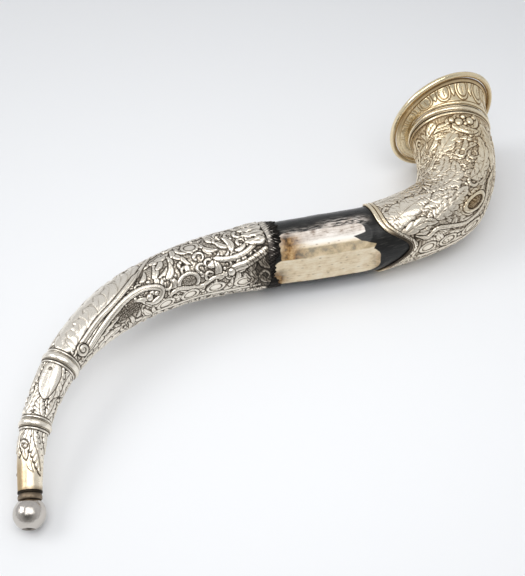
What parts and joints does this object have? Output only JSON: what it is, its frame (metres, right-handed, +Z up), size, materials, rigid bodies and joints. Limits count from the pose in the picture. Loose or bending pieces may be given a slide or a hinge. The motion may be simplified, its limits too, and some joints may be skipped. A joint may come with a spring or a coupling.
{
  "type": "shofar",
  "caption": "Ram's horn wind instrument with two bends, embossed silver sleeves and rings, a ball mouthpiece and a flared gilt bell.",
  "frame": {"origin": "middle of the footprint at table height, with the horn lying on its side", "axes": "+X from the ball mouthpiece towards the bell, +Z up off the table, the bell opening towards +Y and +X"},
  "size_m": [0.4836, 0.1576, 0.0904],
  "materials": {
    "silver": "polished silver with darkened recesses",
    "gilt": "pale gilt silver, polished",
    "dark_silver": "oxidised silver",
    "horn": "polished natural horn, near black with cream planed facets"
  },
  "bodies": {
    "root": {"mouthpiece_ball": "silver", "mouthpiece_ferrule": "dark_silver", "tip_sleeve": "silver", "tip_ring": "silver", "middle_sleeve": "silver", "middle_ring": "silver", "front_sleeve": "silver", "front_sleeve_border": "dark_silver", "horn": "horn", "horn_bell_end": "horn", "rear_sleeve_border": "gilt", "rear_sleeve": "silver", "bell_bead": "silver", "bell_flare": "gilt", "bell_rim": "gilt", "tip_sleeve_pin_1": "silver", "tip_sleeve_pin_2": "silver", "middle_sleeve_pin_1": "silver", "middle_sleeve_pin_2": "silver", "front_sleeve_pin_1": "silver", "front_sleeve_pin_2": "silver", "front_sleeve_pin_3": "silver", "rear_sleeve_pin_1": "silver", "rear_sleeve_pin_2": "silver", "rear_sleeve_pin_3": "silver"}
  },
  "joints": []
}
